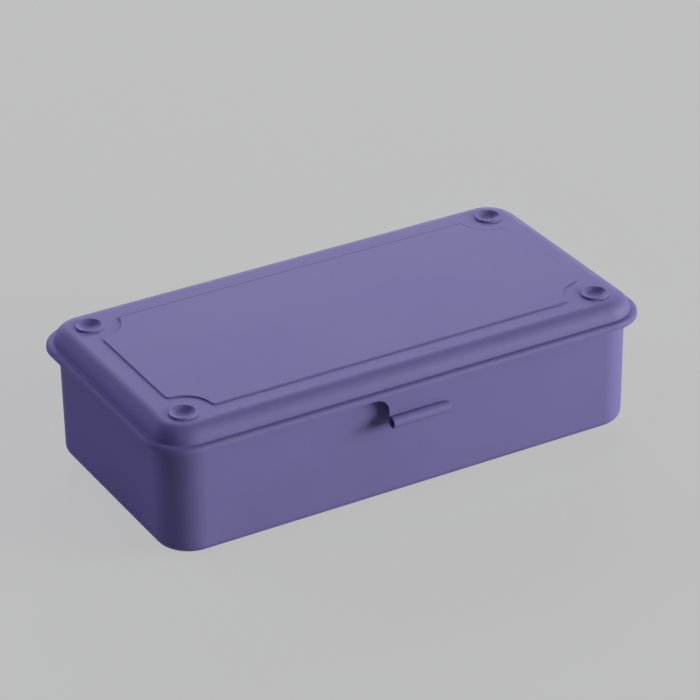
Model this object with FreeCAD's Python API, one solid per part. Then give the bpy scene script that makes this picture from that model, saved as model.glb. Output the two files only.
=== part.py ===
import FreeCAD
import Part
import math
import os

# Pressed steel storage box with a hinged lid and a finger latch, in millimetres.
# X runs along the length, the latch faces -Y and +Z is up.
# The origin is on the surface that the feet stand on, below the middle of the overall box.

# Sheet and rim
sheet = 0.6
rim_length = 203.0
rim_width = 106.2
rim_corner_radius = 16.0
overrun = 5.0
same_place = 0.001

# Body, a drawn pan with an out-turned rim
pan_depth = 44.85
rim_overhang = 4.1
wall_corner_radius = 13.5
wall_draft = 0.36
floor_edge_radius = 3.4
rim_fold_radius = 1.3
rim_lip_length = 0.1

# Feet pressed into the floor, under the lid's stacking rings
foot_height = 3.0
foot_root_radius = 5.2
foot_tip_radius = 3.0
foot_edge_radius = 0.9
foot_blend_radius = 1.0

# Lid, a shallow drawn pan with a flange and a down-turned skirt
seat_gap = 0.25
skirt_gap = 0.5
lid_inset = 2.75
neck_radius = 0.65
lid_lean_share = 0.21
lid_side_length = 0.32
shoulder_radius = 6.0
skirt_bend_radius = 1.4
skirt_height = 2.25

# Raised panel on the lid, cut back in an arc round each stacking ring
panel_rise = 0.45
panel_inset = 15.6
panel_corner_radius = 11.6
panel_tip_radius = 1.2
panel_edge_radius = 0.25
panel_foot_radius = 0.15
pressed_wall = 0.35

# Stacking rings, one on the axis of each rim corner
ring_radius = 5.35
ring_crest_radius = 4.75
ring_crest_width = 0.6
ring_crest_round = 0.15
ring_rise = 0.7
dish_depth = 0.75
dish_floor_radius = 0.8

# Latch, a tab of the front skirt rolled outward into a finger curl
latch_width = 23.4
latch_root_radius = 5.4
latch_tip_radius = 1.2
curl_centre_drop = 11.7
curl_bore_radius = 1.58
roll_slit = 0.3

# Hinges, tongues of the rear skirt rolled round pins in two brackets
hinge_span_share = 0.572
tongue_width = 14.0
tongue_root_radius = 1.4
hinge_axis_drop = 7.7
knuckle_gap = 0.35
bracket_sheet = 1.0
bracket_width = 34.0
bracket_drop = 12.0
bracket_corner_radius = 2.5
pin_clearance = 0.05
pin_head_rise = 0.4
pin_head_thickness = 0.7
pin_head_edge = 0.25
stop_fold_radius = 0.6
stop_fold_angle = 99.0
stop_length = 2.2
stop_gap = 0.35

# Levels, upward from the surface that the box stands on
floor_z = foot_height
pan_top_z = floor_z + pan_depth
lip_foot_z = pan_top_z - rim_fold_radius - rim_lip_length
flange_z = pan_top_z + seat_gap + sheet
side_turn = math.atan2(1, lid_lean_share)
bend_rise = (shoulder_radius + neck_radius) * (1 - math.cos(side_turn))
lid_top_z = flange_z + bend_rise + lid_side_length * math.sin(side_turn)
skirt_foot_z = flange_z - skirt_height
curl_z = flange_z - curl_centre_drop
hinge_z = flange_z - hinge_axis_drop

# Plan sizes, from the middle of the rim
rim_x = rim_length / 2
rim_y = rim_width / 2
wall_x = rim_x - rim_overhang
wall_y = rim_y - rim_overhang
lip_inset = sheet + skirt_gap
corner_x = rim_x - rim_corner_radius
corner_y = rim_y - rim_corner_radius
panel_x = rim_x - panel_inset
panel_y = rim_y - panel_inset
hinge_span = rim_length * hinge_span_share

# Hinge axis, midway between the bracket's face and the rear skirt
bracket_face_y = wall_y + bracket_sheet
skirt_inner_y = rim_y - sheet
knuckle_bore = (skirt_inner_y - bracket_face_y) / 2
hinge_y = bracket_face_y + knuckle_bore
pin_radius = knuckle_bore - pin_clearance

# Reach in front of and behind the rim, which sets the origin
front_reach = rim_y + 2 * curl_bore_radius + sheet
rear_reach = hinge_y + knuckle_bore + bracket_sheet
origin_shift = FreeCAD.Vector(0, (front_reach - rear_reach) / 2, 0)


def rounded_wire(half_x, half_y, radius, z):
    cx = half_x - radius
    cy = half_y - radius
    edges = []
    points = []
    for quarter in range(4):
        start = quarter * math.pi / 2
        centre = FreeCAD.Vector(cx if quarter in (0, 3) else -cx, cy if quarter in (0, 1) else -cy, z)
        turns = [start, start + math.pi / 4, start + math.pi / 2]
        arc = [centre + FreeCAD.Vector(math.cos(t), math.sin(t), 0) * radius for t in turns]
        if points:
            edges.append(Part.makeLine(points[-1], arc[0]))
        edges.append(Part.Arc(*arc).toShape())
        points += [arc[0], arc[2]]
    edges.append(Part.makeLine(points[-1], points[0]))
    return Part.Wire(edges)


def rounded_block(inset, bottom_z, top_z):
    outline = rounded_wire(rim_x - inset, rim_y - inset, rim_corner_radius - inset, bottom_z)
    return Part.Face(outline).extrude(FreeCAD.Vector(0, 0, top_z - bottom_z))


def drafted_block(inset, bottom_z, top_z):
    # The wall leans in by the draft between the rim and the floor
    wires = []
    for z in (bottom_z, top_z):
        lean = inset + wall_draft * (pan_top_z - z) / pan_depth
        wires.append(rounded_wire(wall_x - lean, wall_y - lean, wall_corner_radius - lean, z))
    return Part.makeLoft(wires, True, True)


def level_edges(shape, z, x_limit=None, y_limit=None):
    found = []
    for edge in shape.Edges:
        box = edge.BoundBox
        if abs(box.ZMin - z) > same_place or abs(box.ZMax - z) > same_place:
            continue
        if x_limit is not None and max(abs(box.XMin), abs(box.XMax)) > x_limit + same_place:
            continue
        if y_limit is not None and max(abs(box.YMin), abs(box.YMax)) > y_limit + same_place:
            continue
        found.append(edge)
    return found


def soften(shape, radius, z, x_limit=None, y_limit=None):
    return shape.makeFillet(radius, level_edges(shape, z, x_limit, y_limit))


def corners():
    return [(sx * corner_x, sy * corner_y) for sx in (-1, 1) for sy in (-1, 1)]


def circle_edges(shape, radius, z):
    found = []
    for edge in level_edges(shape, z):
        if isinstance(edge.Curve, Part.Circle) and abs(edge.Curve.Radius - radius) < same_place:
            found.append(edge)
    return found


def foot_form(inset):
    # Tapered boss that stands below the floor, or its hollow when inset by the sheet
    tip_z = inset
    boss = Part.makeCone(foot_tip_radius - inset / 2, foot_root_radius - inset / 2, foot_height)
    boss.translate(FreeCAD.Vector(0, 0, tip_z))
    edge_radius = foot_edge_radius - inset / 2
    return boss.makeFillet(edge_radius, circle_edges(boss, foot_tip_radius - inset / 2, tip_z))


def make_body():
    wall = soften(drafted_block(0, floor_z, pan_top_z), floor_edge_radius, floor_z)
    rim = rounded_block(lip_inset, lip_foot_z, pan_top_z)
    rim = soften(rim, rim_fold_radius, pan_top_z)
    gutter = rounded_block(lip_inset + sheet, lip_foot_z - overrun, pan_top_z - sheet)
    gutter = gutter.cut(wall)
    gutter = soften(gutter, rim_fold_radius - sheet, pan_top_z - sheet)
    inside = drafted_block(sheet, floor_z + sheet, pan_top_z + overrun)
    inside = soften(inside, floor_edge_radius - sheet, floor_z + sheet)
    outside = wall.fuse(rim)
    for x, y in corners():
        outside = outside.fuse(foot_form(0).translated(FreeCAD.Vector(x, y, 0)))
    outside = outside.removeSplitter()
    outside = outside.makeFillet(foot_blend_radius, circle_edges(outside, foot_root_radius, floor_z))
    shell = outside.cut(gutter).cut(inside)
    for x, y in corners():
        shell = shell.cut(foot_form(sheet).translated(FreeCAD.Vector(x, y, 0)))
    return soften(shell, rim_fold_radius, pan_top_z, wall_x - sheet, wall_y - sheet)


def side_inset(offset, z):
    # The lid's side leans in as it rises, and its inner face lies square to it
    return lid_inset + offset * math.hypot(1, lid_lean_share) + lid_lean_share * (z - flange_z)


def lid_form(offset, foot_z):
    # Skirt, flange, neck and shoulder in one block, offset inward by the sheet for the inner face
    rim = rounded_block(offset, foot_z, flange_z - offset)
    rim = soften(rim, skirt_bend_radius - offset, flange_z - offset)
    wires = []
    for z in (flange_z - offset - sheet, lid_top_z - offset):
        inset = side_inset(offset, z)
        wires.append(rounded_wire(rim_x - inset, rim_y - inset, rim_corner_radius - inset, z))
    pan = soften(Part.makeLoft(wires, True, True), shoulder_radius - offset, lid_top_z - offset)
    form = rim.fuse(pan).removeSplitter()
    neck_inset = side_inset(offset, flange_z - offset)
    return soften(form, neck_radius + offset, flange_z - offset, rim_x - neck_inset, rim_y - neck_inset)


def panel_form(inset, bottom_z, top_z):
    half_x = panel_x - inset
    half_y = panel_y - inset
    height = top_z - bottom_z
    low_corner = FreeCAD.Vector(-half_x, -half_y, bottom_z)
    block = Part.makeBox(2 * half_x, 2 * half_y, height, low_corner)
    for x, y in corners():
        base = FreeCAD.Vector(x, y, bottom_z)
        block = block.cut(Part.makeCylinder(panel_corner_radius + inset, height, base))
    upright = [e for e in block.Edges if e.BoundBox.ZLength > height - same_place]
    tips = [e for e in upright if isinstance(e.Curve, Part.Line)]
    return block.makeFillet(panel_tip_radius, tips)


def ring_form():
    # Section of the pressed ring and its dish, turned about the corner's axis
    crest_in = ring_crest_radius - ring_crest_width / 2
    crest_out = ring_crest_radius + ring_crest_width / 2
    crest_edge = ring_rise - ring_crest_round
    climb = crest_edge + dish_depth
    run = crest_in - dish_floor_radius
    bowl_radius = (run ** 2 + climb ** 2) / (2 * climb)
    half_turn = math.asin(run / bowl_radius) / 2

    def at(radius, rise):
        return FreeCAD.Vector(radius, 0, lid_top_z + rise)

    def dish(drop):
        # Flat floor and the bowl wall that rises from it to the crest
        floor = -dish_depth - drop
        floor_edge = at(dish_floor_radius, floor)
        mid_radius = dish_floor_radius + bowl_radius * math.sin(half_turn)
        middle = at(mid_radius, floor + bowl_radius * (1 - math.cos(half_turn)))
        wall = Part.Arc(floor_edge, middle, at(crest_in, crest_edge - drop))
        return [Part.makeLine(at(0, floor), floor_edge), wall.toShape()]

    crest_top = at(ring_crest_radius, ring_rise)
    crest = Part.Arc(at(crest_in, crest_edge), crest_top, at(crest_out, crest_edge))
    flank = [
        at(crest_out, crest_edge),
        at(ring_radius, 0),
        at(ring_radius, -sheet),
        at(ring_radius - pressed_wall, -sheet),
        at(crest_out - pressed_wall, crest_edge - sheet),
        at(crest_in, crest_edge - sheet),
    ]
    middle_line = Part.makeLine(at(0, -dish_depth), at(0, -dish_depth - sheet))
    edges = dish(0) + [crest.toShape()] + Part.makePolygon(flank).Edges + dish(sheet) + [middle_line]
    section = Part.Face(Part.Wire(Part.__sortEdges__(edges)))
    return section.revolve(FreeCAD.Vector(), FreeCAD.Vector(0, 0, 1), 360)


def hanging_tab(width, root_radius, inner_y, foot_z):
    # Flat strip below the skirt, with a fillet where each side leaves the skirt's edge
    half = width / 2
    root_z = skirt_foot_z
    tuck_z = root_z + skirt_gap
    diagonal = root_radius * (1 - math.cos(math.pi / 4))

    def at(x, z):
        return FreeCAD.Vector(x, inner_y, z)

    def root(side):
        ends = [at(side * (half + root_radius), root_z), at(side * half, root_z - root_radius)]
        middle = at(side * (half + diagonal), root_z - diagonal)
        return Part.Arc(ends[0], middle, ends[1]).toShape()

    corner_points = [
        at(-half, root_z - root_radius),
        at(-half, foot_z),
        at(half, foot_z),
        at(half, root_z - root_radius),
    ]
    top_points = [
        at(half + root_radius, root_z),
        at(half + root_radius, tuck_z),
        at(-half - root_radius, tuck_z),
        at(-half - root_radius, root_z),
    ]
    edges = Part.makePolygon(corner_points).Edges + Part.makePolygon(top_points).Edges
    edges += [root(-1), root(1)]
    outline = Part.Wire(Part.__sortEdges__(edges))
    return Part.Face(outline).extrude(FreeCAD.Vector(0, sheet, 0))


def rolled_strip(width, centre_y, centre_z, bore, thickness, start_angle):
    # Sheet rolled clockwise round the X axis until its free edge almost meets the strip again
    outer = bore + thickness
    roll = 360 - math.degrees(math.acos((bore - roll_slit) / outer))

    def at(radius, turn):
        angle = math.radians(start_angle - turn)
        y = centre_y + radius * math.cos(angle)
        return FreeCAD.Vector(-width / 2, y, centre_z + radius * math.sin(angle))

    edges = [
        Part.Arc(at(outer, 0), at(outer, roll / 2), at(outer, roll)).toShape(),
        Part.makeLine(at(outer, roll), at(bore, roll)),
        Part.Arc(at(bore, roll), at(bore, roll / 2), at(bore, 0)).toShape(),
        Part.makeLine(at(bore, 0), at(outer, 0)),
    ]
    return Part.Face(Part.Wire(edges)).extrude(FreeCAD.Vector(width, 0, 0))


def make_latch():
    curl_y = -rim_y - curl_bore_radius
    curl = rolled_strip(latch_width, curl_y, curl_z, curl_bore_radius, sheet, 0)
    tips = []
    for edge in curl.Edges:
        middle = edge.CenterOfMass
        is_end = abs(abs(middle.x) - latch_width / 2) < same_place
        if is_end and isinstance(edge.Curve, Part.Line) and middle.z > curl_z + same_place:
            tips.append(edge)
    curl = curl.makeFillet(latch_tip_radius, tips)
    return hanging_tab(latch_width, latch_root_radius, -rim_y, curl_z).fuse(curl)


def make_tongue():
    knuckle = rolled_strip(tongue_width, hinge_y, hinge_z, knuckle_bore, sheet, 0)
    return hanging_tab(tongue_width, tongue_root_radius, skirt_inner_y, hinge_z).fuse(knuckle)


def make_lid():
    lid = lid_form(0, skirt_foot_z).cut(lid_form(sheet, skirt_foot_z - overrun))
    panel = panel_form(0, lid_top_z - sheet, lid_top_z + panel_rise)
    lid = lid.fuse(soften(panel, panel_edge_radius, lid_top_z + panel_rise))
    lid = soften(lid, panel_foot_radius, lid_top_z, panel_x, panel_y)
    hollow_top_z = lid_top_z - sheet + panel_rise
    lid = lid.cut(panel_form(pressed_wall, lid_top_z - sheet - overrun, hollow_top_z))
    ring = ring_form()
    for x, y in corners():
        base = FreeCAD.Vector(x, y, lid_top_z - overrun)
        lid = lid.cut(Part.makeCylinder(ring_radius, 2 * overrun, base))
        lid = lid.fuse(ring.translated(FreeCAD.Vector(x, y, 0)))
    lid = lid.fuse(make_latch())
    tongue = make_tongue()
    for side in (-1, 1):
        lid = lid.fuse(tongue.translated(FreeCAD.Vector(side * hinge_span / 2, 0, 0)))
    return lid.removeSplitter()


def make_stop():
    # Tongue of the bracket folded out under the lid's knuckle, on which the open lid leans
    fold = math.radians(180 - stop_fold_angle)
    normal = FreeCAD.Vector(0, math.cos(fold), math.sin(fold))
    along = FreeCAD.Vector(0, math.sin(fold), -math.cos(fold))
    centre_y = bracket_face_y + stop_fold_radius
    inner = stop_fold_radius
    outer = inner + bracket_sheet
    stand_off = outer + knuckle_bore + sheet + stop_gap
    centre_z = hinge_z - (stand_off - (hinge_y - centre_y) * normal.y) / normal.z
    centre = FreeCAD.Vector(-tongue_width / 2, centre_y, centre_z)

    def at(radius, angle):
        return centre + FreeCAD.Vector(0, math.cos(angle), math.sin(angle)) * radius

    middle = (math.pi + fold) / 2
    reach = along * stop_length
    below = FreeCAD.Vector(0, 0, inner)
    edges = [
        Part.Arc(at(outer, math.pi), at(outer, middle), at(outer, fold)).toShape(),
        Part.makeLine(at(outer, fold), at(outer, fold) + reach),
        Part.makeLine(at(outer, fold) + reach, at(inner, fold) + reach),
        Part.makeLine(at(inner, fold) + reach, at(inner, fold)),
        Part.Arc(at(inner, fold), at(inner, middle), at(inner, math.pi)).toShape(),
        Part.makeLine(at(inner, math.pi), at(inner, math.pi) - below),
        Part.makeLine(at(inner, math.pi) - below, at(outer, math.pi) - below),
        Part.makeLine(at(outer, math.pi) - below, at(outer, math.pi)),
    ]
    stop = Part.Face(Part.Wire(edges)).extrude(FreeCAD.Vector(tongue_width, 0, 0))
    return stop, centre_z


def make_bracket():
    stop, stop_z = make_stop()
    back_y = wall_y - wall_draft
    low_z = hinge_z - bracket_drop
    low_corner = FreeCAD.Vector(-bracket_width / 2, back_y, low_z)
    plate = Part.makeBox(bracket_width, bracket_face_y - back_y, bracket_drop, low_corner)
    feet = []
    for edge in plate.Edges:
        if edge.BoundBox.YLength > bracket_sheet / 2 and edge.CenterOfMass.z < low_z + same_place:
            feet.append(edge)
    plate = plate.makeFillet(bracket_corner_radius, feet)
    window_width = tongue_width + 2 * knuckle_gap
    window_corner = FreeCAD.Vector(-window_width / 2, back_y - overrun, stop_z)
    window_depth = 2 * overrun + bracket_sheet
    plate = plate.cut(Part.makeBox(window_width, window_depth, bracket_drop, window_corner))
    knuckle = rolled_strip(bracket_width, hinge_y, hinge_z, knuckle_bore, bracket_sheet, 180)
    gap_corner = FreeCAD.Vector(-window_width / 2, hinge_y - overrun, hinge_z - overrun)
    knuckle = knuckle.cut(Part.makeBox(window_width, 2 * overrun, 2 * overrun, gap_corner))
    bracket = plate.fuse(knuckle).fuse(stop)
    return bracket.cut(drafted_block(0, floor_z, pan_top_z)).removeSplitter()


def make_pin():
    half = bracket_width / 2
    head_end = half + pin_head_thickness
    along = FreeCAD.Vector(1, 0, 0)
    pin = Part.makeCylinder(pin_radius, bracket_width, FreeCAD.Vector(-half, hinge_y, hinge_z), along)
    for side in (-1, 1):
        start = FreeCAD.Vector(side * half, hinge_y, hinge_z)
        head = Part.makeCylinder(pin_radius + pin_head_rise, pin_head_thickness, start, along * side)
        outer_edges = [e for e in head.Edges if abs(e.CenterOfMass.x) > head_end - same_place]
        pin = pin.fuse(head.makeFillet(pin_head_edge, outer_edges))
    return pin.removeSplitter()


def save(name, shape):
    solid = shape.Solids[0] if len(shape.Solids) == 1 else shape
    solid = solid.translated(origin_shift)
    solid.exportStep(f"parts/{name}.step")
    box = solid.BoundBox
    print(f"{name}: {len(shape.Solids)} solid, valid {solid.isValid()}, volume {solid.Volume:.1f},"
          f" x {box.XMin:.2f} {box.XMax:.2f}, y {box.YMin:.2f} {box.YMax:.2f},"
          f" z {box.ZMin:.2f} {box.ZMax:.2f}")


os.makedirs("parts", exist_ok=True)
save("body_pan", make_body())
save("lid_pan", make_lid())
bracket = make_bracket()
pin = make_pin()
for side, word in ((-1, "left"), (1, "right")):
    place = FreeCAD.Vector(side * hinge_span / 2, 0, 0)
    save(f"hinge_bracket_{word}", bracket.translated(place))
    save(f"hinge_pin_{word}", pin.translated(place))
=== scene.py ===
import bpy
import math
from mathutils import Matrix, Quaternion, Vector


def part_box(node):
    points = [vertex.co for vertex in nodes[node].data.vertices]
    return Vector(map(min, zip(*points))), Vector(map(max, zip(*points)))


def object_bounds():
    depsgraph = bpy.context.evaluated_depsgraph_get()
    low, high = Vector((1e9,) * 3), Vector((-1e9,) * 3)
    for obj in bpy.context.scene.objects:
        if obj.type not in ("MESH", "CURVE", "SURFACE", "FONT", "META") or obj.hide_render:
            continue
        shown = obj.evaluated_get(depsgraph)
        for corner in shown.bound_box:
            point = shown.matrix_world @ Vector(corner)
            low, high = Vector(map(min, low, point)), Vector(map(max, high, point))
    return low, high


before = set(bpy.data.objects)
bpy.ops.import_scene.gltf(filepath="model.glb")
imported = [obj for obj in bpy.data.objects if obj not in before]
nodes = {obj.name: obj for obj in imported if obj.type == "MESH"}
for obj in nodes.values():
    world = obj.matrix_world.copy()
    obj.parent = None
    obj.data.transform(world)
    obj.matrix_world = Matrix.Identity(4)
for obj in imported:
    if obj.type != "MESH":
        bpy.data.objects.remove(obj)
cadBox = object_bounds()
boxMiddle = (Vector(cadBox[0]) + Vector(cadBox[1])) / 2
scene = bpy.context.scene
scene.view_settings.view_transform = "Standard"
print("frame loaded:", ", ".join(sorted(nodes)))


# A node socket that can stand in sums
class Wire:
    def __init__(self, finish, socket):
        self.finish = finish
        self.socket = socket

    def math(self, operation, first, second=0.0):
        return self.finish.node("ShaderNodeMath", {"operation": operation}, {0: first, 1: second})

    def __add__(self, other):
        return self.math("ADD", self, other)

    def __radd__(self, other):
        return self.math("ADD", other, self)

    def __sub__(self, other):
        return self.math("SUBTRACT", self, other)

    def __rsub__(self, other):
        return self.math("SUBTRACT", other, self)

    def __mul__(self, other):
        return self.math("MULTIPLY", self, other)

    def __rmul__(self, other):
        return self.math("MULTIPLY", other, self)

    def __abs__(self):
        return self.math("ABSOLUTE", self)

    def above(self, other):
        return self.math("MAXIMUM", self, other)

    # this value by its share, and the other for the rest
    def blend(self, other, share):
        return share * self + (1 - share) * other

    # another output of the node that this socket belongs to
    def other(self, output):
        return Wire(self.finish, self.socket.node.outputs[output])


# The nodes of one material, or of the world
class Finish:
    def __init__(self, owner):
        self.owner = owner
        owner.use_nodes = True
        self.tree = owner.node_tree
        self.tree.nodes.clear()

    def node(self, kind, settings=None, inputs=None, output=0):
        made = self.tree.nodes.new(kind)
        for key, value in (settings or {}).items():
            setattr(made, key, value)
        for key, value in (inputs or {}).items():
            if isinstance(value, Wire):
                self.tree.links.new(value.socket, made.inputs[key])
            else:
                made.inputs[key].default_value = value
        return Wire(self, made.outputs[output] if made.outputs else None)

    # the piece's own coordinates, which are the CAD frame's, in metres
    def place(self):
        return self.node("ShaderNodeTexCoord").other("Object")

    # x, with y and z as its other outputs
    def split(self, place):
        return self.node("ShaderNodeSeparateXYZ", {}, {0: place})

    # noise with grains of a given size in metres
    def grain(self, place, size, detail, rough=0.5):
        return self.node("ShaderNodeTexNoise", {}, {
            "Vector": place, "Scale": 1 / size, "Detail": detail, "Roughness": rough})

    # 0 below low, 1 above high, with a soft step between
    def step(self, value, low, high):
        return self.node("ShaderNodeMapRange", {"interpolation_type": "SMOOTHSTEP"}, {
            "Value": value, "From Min": low, "From Max": high})

    def tint(self, factor, first, second):
        return self.node("ShaderNodeMix", {"data_type": "RGBA"}, {0: factor, 6: first, 7: second}, 2)

    # distance of two measures from a point on the same two
    def reach(self, first, second, point):
        flat = self.node("ShaderNodeCombineXYZ", {}, {0: first, 1: second})
        return self.node("ShaderNodeVectorMath", {"operation": "DISTANCE"}, {0: flat, 1: (*point, 0)}, 1)

    # rays straight from the camera, and rays that are mirrored or pass through something
    def rays(self):
        path = self.node("ShaderNodeLightPath")
        mirrored = path.other("Is Glossy Ray") + path.other("Is Transmission Ray")
        return path.other("Is Camera Ray"), mirrored

    def close(self, shader, kind="ShaderNodeOutputMaterial"):
        self.node(kind, {}, {"Surface": shader})
        return self.owner


# Violet satin powder coat on the pressed sheet
coatLook = {
    "colourDeep": (0.167, 0.143, 0.405, 1.0),
    "colourPale": (0.177, 0.153, 0.43, 1.0),
    # dark navy: painted shade for the crease line along the lid panel's rear edge, and thin coat over
    # the brackets' spot welds
    "colourShadeAndThinCoat": (0.05, 0.045, 0.24, 1.0),
    "colourRubbed": (0.3, 0.28, 0.45, 1.0),
    "cloudSize": 0.045,
    "cloudDetail": 3.0,
    "peelSize": 0.0011,
    "peelDetail": 1.0,
    "peelHeight": 0.000012,
    "powderSize": 0.00028,
    "powderDetail": 2.0,
    "powderRough": 0.6,
    "powderHeight": 0.000004,
    "toneClouds": 0.7,  # share of the clouds in the tone, the rest is powder
    "toneRange": (0.35, 0.65),
    "roughLow": 0.54,
    "roughHigh": 0.62,
    "roughPowder": 0.6,  # share of the powder in the roughness, the rest is clouds
    "roughRange": (0.3, 0.7),
    "specular": 0.25,
}

# The lid's panel, along whose rear edge a dark line of painted shade stands for the shaded crease at the
# step
lidMarks = {
    "panelInset": 0.0145,  # from the body's rim to the panel's edge
    "ringInset": 0.0149,  # from the body's rim to the axes of the stacking rings
    "cutRadius": 0.0116,  # of the panel's corners, cut back round the rings
    "crestDrop": 0.0008,  # from the rings' crests to just under the flat round the panel
    "topFade": 0.0001,
    "lineInset": 0.0003,
    "lineHalf": 0.0006,
    "rearFrom": (0.02, 0.03),
    "endFade": 0.0005,
}


def findLidMarks(f, place):
    rimLow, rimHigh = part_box("body_pan")
    rimMiddle = (rimLow + rimHigh) / 2
    rimHalf = (rimHigh - rimLow) / 2
    ring = (rimHalf.x - lidMarks["ringInset"], rimHalf.y - lidMarks["ringInset"])
    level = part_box("lid_pan")[1].z - lidMarks["crestDrop"]
    x = f.split(place)
    across = abs(x)
    deep = abs(x.other("Y") - rimMiddle.y)
    pastEnds = across - (rimHalf.x - lidMarks["panelInset"])
    pastSides = deep - (rimHalf.y - lidMarks["panelInset"])
    pastCorners = lidMarks["cutRadius"] - f.reach(across, deep, ring)
    past = pastEnds.above(pastSides).above(pastCorners)
    # painted shade: a thin dark line just inside the panel's edge, where the crease of the step falls
    # into shade, kept to the rear edge
    line = 1 - f.step(abs(past + lidMarks["lineInset"]), 0.0, lidMarks["lineHalf"])
    top = f.step(x.other("Z"), level, level + lidMarks["topFade"])
    rear = f.step(x.other("Y"), *lidMarks["rearFrom"])
    leftEnd = lidMarks["cutRadius"] - ring[0]
    started = f.step(x, leftEnd - lidMarks["endFade"], leftEnd + lidMarks["endFade"])
    return {"shadeAndThinCoat": line * top * rear * started}


# Feet, whose tips are rubbed by what the box stands on
bodyMarks = {
    "rubHeight": 0.0005,
    "rubSize": 0.002,
    "rubDetail": 3.0,
    "rubRange": (0.35, 0.6),
    "rubShare": 0.6,
}


def findBodyMarks(f, place):
    z = f.split(place).other("Z")
    tip = 1 - f.step(z, 0.0, bodyMarks["rubHeight"])
    patches = f.grain(place, bodyMarks["rubSize"], bodyMarks["rubDetail"])
    return {"rubbed": tip * f.step(patches, *bodyMarks["rubRange"]) * bodyMarks["rubShare"]}


# Two spot welds on each hinge bracket
bracketMarks = {
    "spotAside": 0.011,  # from the bracket's middle
    "spotAbove": 0.003,  # from the bracket's lower edge
    "spotRadius": 0.0021,
    "spotEdge": 0.0008,
    "dent": 0.00012,
    "thinShare": 0.2,
}


def findBracketMarks(f, place):
    low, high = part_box("hinge_bracket_right")
    x = f.split(place)
    aside = abs(abs(x) - (low.x + high.x) / 2)
    weld = (bracketMarks["spotAside"], low.z + bracketMarks["spotAbove"])
    inner = bracketMarks["spotRadius"] - bracketMarks["spotEdge"]
    spot = 1 - f.step(f.reach(aside, x.other("Z"), weld), inner, bracketMarks["spotRadius"])
    return {"shadeAndThinCoat": spot * bracketMarks["thinShare"], "dent": spot * bracketMarks["dent"]}


def makeCoat(name, findMarks):
    f = Finish(bpy.data.materials.new(name))
    place = f.place()
    marks = findMarks(f, place)
    clouds = f.grain(place, coatLook["cloudSize"], coatLook["cloudDetail"])
    peel = f.grain(place, coatLook["peelSize"], coatLook["peelDetail"])
    powder = f.grain(place, coatLook["powderSize"], coatLook["powderDetail"], coatLook["powderRough"])
    tone = f.step(clouds.blend(powder, coatLook["toneClouds"]), *coatLook["toneRange"])
    colour = f.tint(tone, coatLook["colourDeep"], coatLook["colourPale"])
    dull = f.step(powder.blend(clouds, coatLook["roughPowder"]), *coatLook["roughRange"])
    rough = coatLook["roughLow"] + (coatLook["roughHigh"] - coatLook["roughLow"]) * dull
    height = peel * coatLook["peelHeight"] + powder * coatLook["powderHeight"]
    # darker coat: painted shade along the lid panel's rear crease, and thin coat over the brackets' spot
    # welds
    if "shadeAndThinCoat" in marks:
        colour = f.tint(marks["shadeAndThinCoat"], colour, coatLook["colourShadeAndThinCoat"])
    if "rubbed" in marks:
        colour = f.tint(marks["rubbed"], colour, coatLook["colourRubbed"])
    if "dent" in marks:
        height = height - marks["dent"]
    bump = f.node("ShaderNodeBump", {}, {"Strength": 1.0, "Distance": 1.0, "Height": height})
    shader = f.node("ShaderNodeBsdfPrincipled", {}, {
        "Base Color": colour, "Roughness": rough, "Normal": bump,
        "Specular IOR Level": coatLook["specular"]})
    return f.close(shader)


# Bright zinc on the hinge pins, with turning marks round them
pinLook = {
    "colour": (0.50, 0.50, 0.51, 1.0),
    "colourDull": (0.36, 0.36, 0.37, 1.0),
    "dullRange": (0.35, 0.7),
    "turnSize": 0.0004,
    "turnDetail": 2.0,
    "turnStretch": (1.0, 0.05, 0.05),
    "turnShare": 0.5,  # share of the turning marks in the roughness, the rest is clouds
    "cloudSize": 0.004,
    "cloudDetail": 3.0,
    "roughLow": 0.26,
    "roughHigh": 0.42,
    "roughRange": (0.3, 0.7),
}


def makePinSteel(name):
    f = Finish(bpy.data.materials.new(name))
    place = f.place()
    along = f.node("ShaderNodeMapping", {}, {"Vector": place, "Scale": pinLook["turnStretch"]})
    turned = f.grain(along, pinLook["turnSize"], pinLook["turnDetail"])
    clouds = f.grain(place, pinLook["cloudSize"], pinLook["cloudDetail"])
    colour = f.tint(f.step(clouds, *pinLook["dullRange"]), pinLook["colour"], pinLook["colourDull"])
    dull = f.step(turned.blend(clouds, pinLook["turnShare"]), *pinLook["roughRange"])
    rough = pinLook["roughLow"] + (pinLook["roughHigh"] - pinLook["roughLow"]) * dull
    shader = f.node("ShaderNodeBsdfPrincipled", {}, {
        "Base Color": colour, "Metallic": 1.0, "Roughness": rough})
    return f.close(shader)


def dress(node, material):
    node.data.materials.clear()
    node.data.materials.append(material)


bodyCoat = makeCoat("bodyCoat", findBodyMarks)
lidCoat = makeCoat("lidCoat", findLidMarks)
bracketCoat = makeCoat("bracketCoat", findBracketMarks)
pinSteel = makePinSteel("pinSteel")
finishes = {
    "body_pan": bodyCoat,
    "lid_pan": lidCoat,
    "hinge_bracket_left": bracketCoat,
    "hinge_bracket_right": bracketCoat,
    "hinge_pin_left": pinSteel,
    "hinge_pin_right": pinSteel,
}
for name, node in nodes.items():
    dress(node, finishes[name])
print("finishes on", len(nodes), "nodes")


# Pale paper floor that fills the view, a hair under the feet
floorLook = {
    "size": 8.0,
    "level": -0.0001,
    "colour": (0.6, 0.6, 0.6, 1.0),
    "colourFibre": (0.582, 0.582, 0.582, 1.0),
    "fibreSize": 0.003,
    "fibreDetail": 3.0,
    "shown": (0.546, 0.546, 0.546, 1.0),
    "shownShare": 0.85,  # the rest of what the camera sees is lit paper, with the box's shadow
    "glossShare": 0.4,
}


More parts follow.
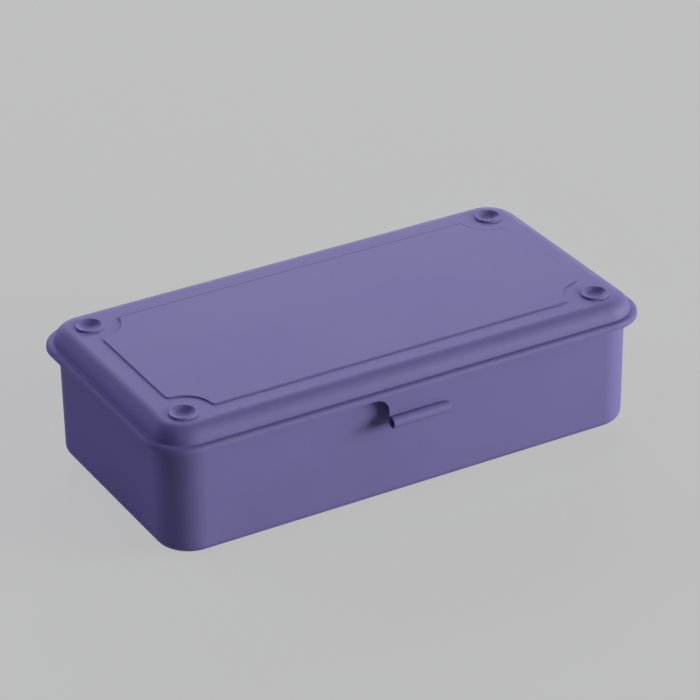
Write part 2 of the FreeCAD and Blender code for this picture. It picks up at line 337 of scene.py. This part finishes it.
def makeFloor():
    bpy.ops.object.select_all(action="DESELECT")
    bpy.ops.mesh.primitive_plane_add(size=floorLook["size"], location=(0, 0, floorLook["level"]))
    floor = bpy.context.object
    floor.name = "studioFloor"
    f = Finish(bpy.data.materials.new("floorPaper"))
    fibre = f.grain(f.place(), floorLook["fibreSize"], floorLook["fibreDetail"])
    paper = f.tint(fibre, floorLook["colour"], floorLook["colourFibre"])
    matte = f.node("ShaderNodeBsdfPrincipled", {}, {
        "Base Color": paper, "Roughness": 1.0, "Specular IOR Level": 0.0})
    glow = f.node("ShaderNodeEmission", {}, {"Color": floorLook["shown"], "Strength": 1.0})
    seen, mirrored = f.rays()
    share = seen * floorLook["shownShare"] + mirrored * floorLook["glossShare"]
    mixed = f.node("ShaderNodeMixShader", {}, {0: share, 1: matte, 2: glow})
    floor.data.materials.append(f.close(mixed))


makeFloor()
print("floor laid")


# Stands a lamp or the camera off from a point, facing it: angles in degrees, distance in metres
def stand(name, data, aim, look):
    bearing = math.radians(look["bearing"])
    rise = math.radians(look["rise"])
    level = math.cos(rise)
    towards = Vector((math.cos(bearing) * level, math.sin(bearing) * level, math.sin(rise)))
    roll = Quaternion((0, 0, 1), math.radians(look.get("roll", 0.0)))
    holder = bpy.data.objects.new(name, data)
    holder.location = aim + towards * look["away"]
    holder.rotation_euler = (towards.to_track_quat("Z", "Y") @ roll).to_euler()
    scene.collection.objects.link(holder)
    return holder


# Soft boxes round the object, sizes in metres
studioLights = {
    "backBox": {
        "bearing": 66, "rise": 20, "away": 3.0, "wide": 2.5, "tall": 1.25,
        "power": 63.0, "colour": (0.87, 0.84, 1.0)},
    "leftBackBox": {
        "bearing": 122, "rise": 25, "away": 2.2, "wide": 1.2, "tall": 0.9,
        "power": 13.2, "colour": (0.76, 0.78, 1.0)},
    "leftTopBox": {
        "bearing": 180, "rise": 65, "away": 2.0, "wide": 1.0, "tall": 1.0,
        "power": 4.5, "colour": (0.72, 0.76, 1.0)},
    "rightBox": {
        "bearing": 335, "rise": 15, "away": 3.0, "wide": 1.65, "tall": 1.1,
        "power": 38.0, "colour": (0.96, 1.0, 0.8)},
    "frontRightBox": {
        "bearing": 315, "rise": 13, "away": 3.0, "wide": 1.65, "tall": 0.9,
        "power": 70.0, "colour": (0.97, 1.0, 0.81)},
}


def makeLights():
    for name, look in studioLights.items():
        lamp = bpy.data.lights.new(name, "AREA")
        lamp.shape = "RECTANGLE"
        lamp.size = look["wide"]
        lamp.size_y = look["tall"]
        lamp.energy = look["power"]
        lamp.color = look["colour"]
        stand(name, lamp, boxMiddle, look)


# Dim room, with a pale backdrop for the camera and, low over the floor, for mirrored rays
roomLook = {
    "colour": (0.55, 0.6, 1.0, 1.0),
    "strength": 0.02,
    "backdrop": (0.521, 0.521, 0.521, 1.0),
    "backdropShare": 0.9,
    "backdropFade": (0.05, 0.25),
}


def makeRoom():
    f = Finish(bpy.data.worlds.new("room"))
    height = f.split(f.node("ShaderNodeTexCoord").other("Generated")).other("Z")
    low = 1 - f.step(height, *roomLook["backdropFade"])
    room = f.node("ShaderNodeBackground", {}, {
        "Color": roomLook["colour"], "Strength": roomLook["strength"]})
    backdrop = f.node("ShaderNodeBackground", {}, {"Color": roomLook["backdrop"], "Strength": 1.0})
    seen, mirrored = f.rays()
    share = seen + mirrored * low * roomLook["backdropShare"]
    mixed = f.node("ShaderNodeMixShader", {}, {0: share, 1: room, 2: backdrop})
    scene.world = f.close(mixed, "ShaderNodeOutputWorld")


makeLights()
makeRoom()
print("lights set:", len(studioLights))


# Camera at the photograph's angle; it aims a little off the middle of the box, as the photograph does
cameraLook = {
    "aimOff": (0.00819, 0.01165, 0.00296),
    "bearing": 240.51,
    "rise": 28.788,
    "roll": -0.8356,
    "away": 1.25,
    "lens": 172.12,
    "sensor": 36.0,
    "clipStart": 0.05,
    "clipEnd": 50.0,
}


def makeCamera():
    camera = bpy.data.cameras.new("photoCamera")
    camera.lens = cameraLook["lens"]
    camera.sensor_width = cameraLook["sensor"]
    camera.clip_start = cameraLook["clipStart"]
    camera.clip_end = cameraLook["clipEnd"]
    aim = boxMiddle + Vector(cameraLook["aimOff"])
    scene.camera = stand("photoCamera", camera, aim, cameraLook)


makeCamera()
print("camera set")
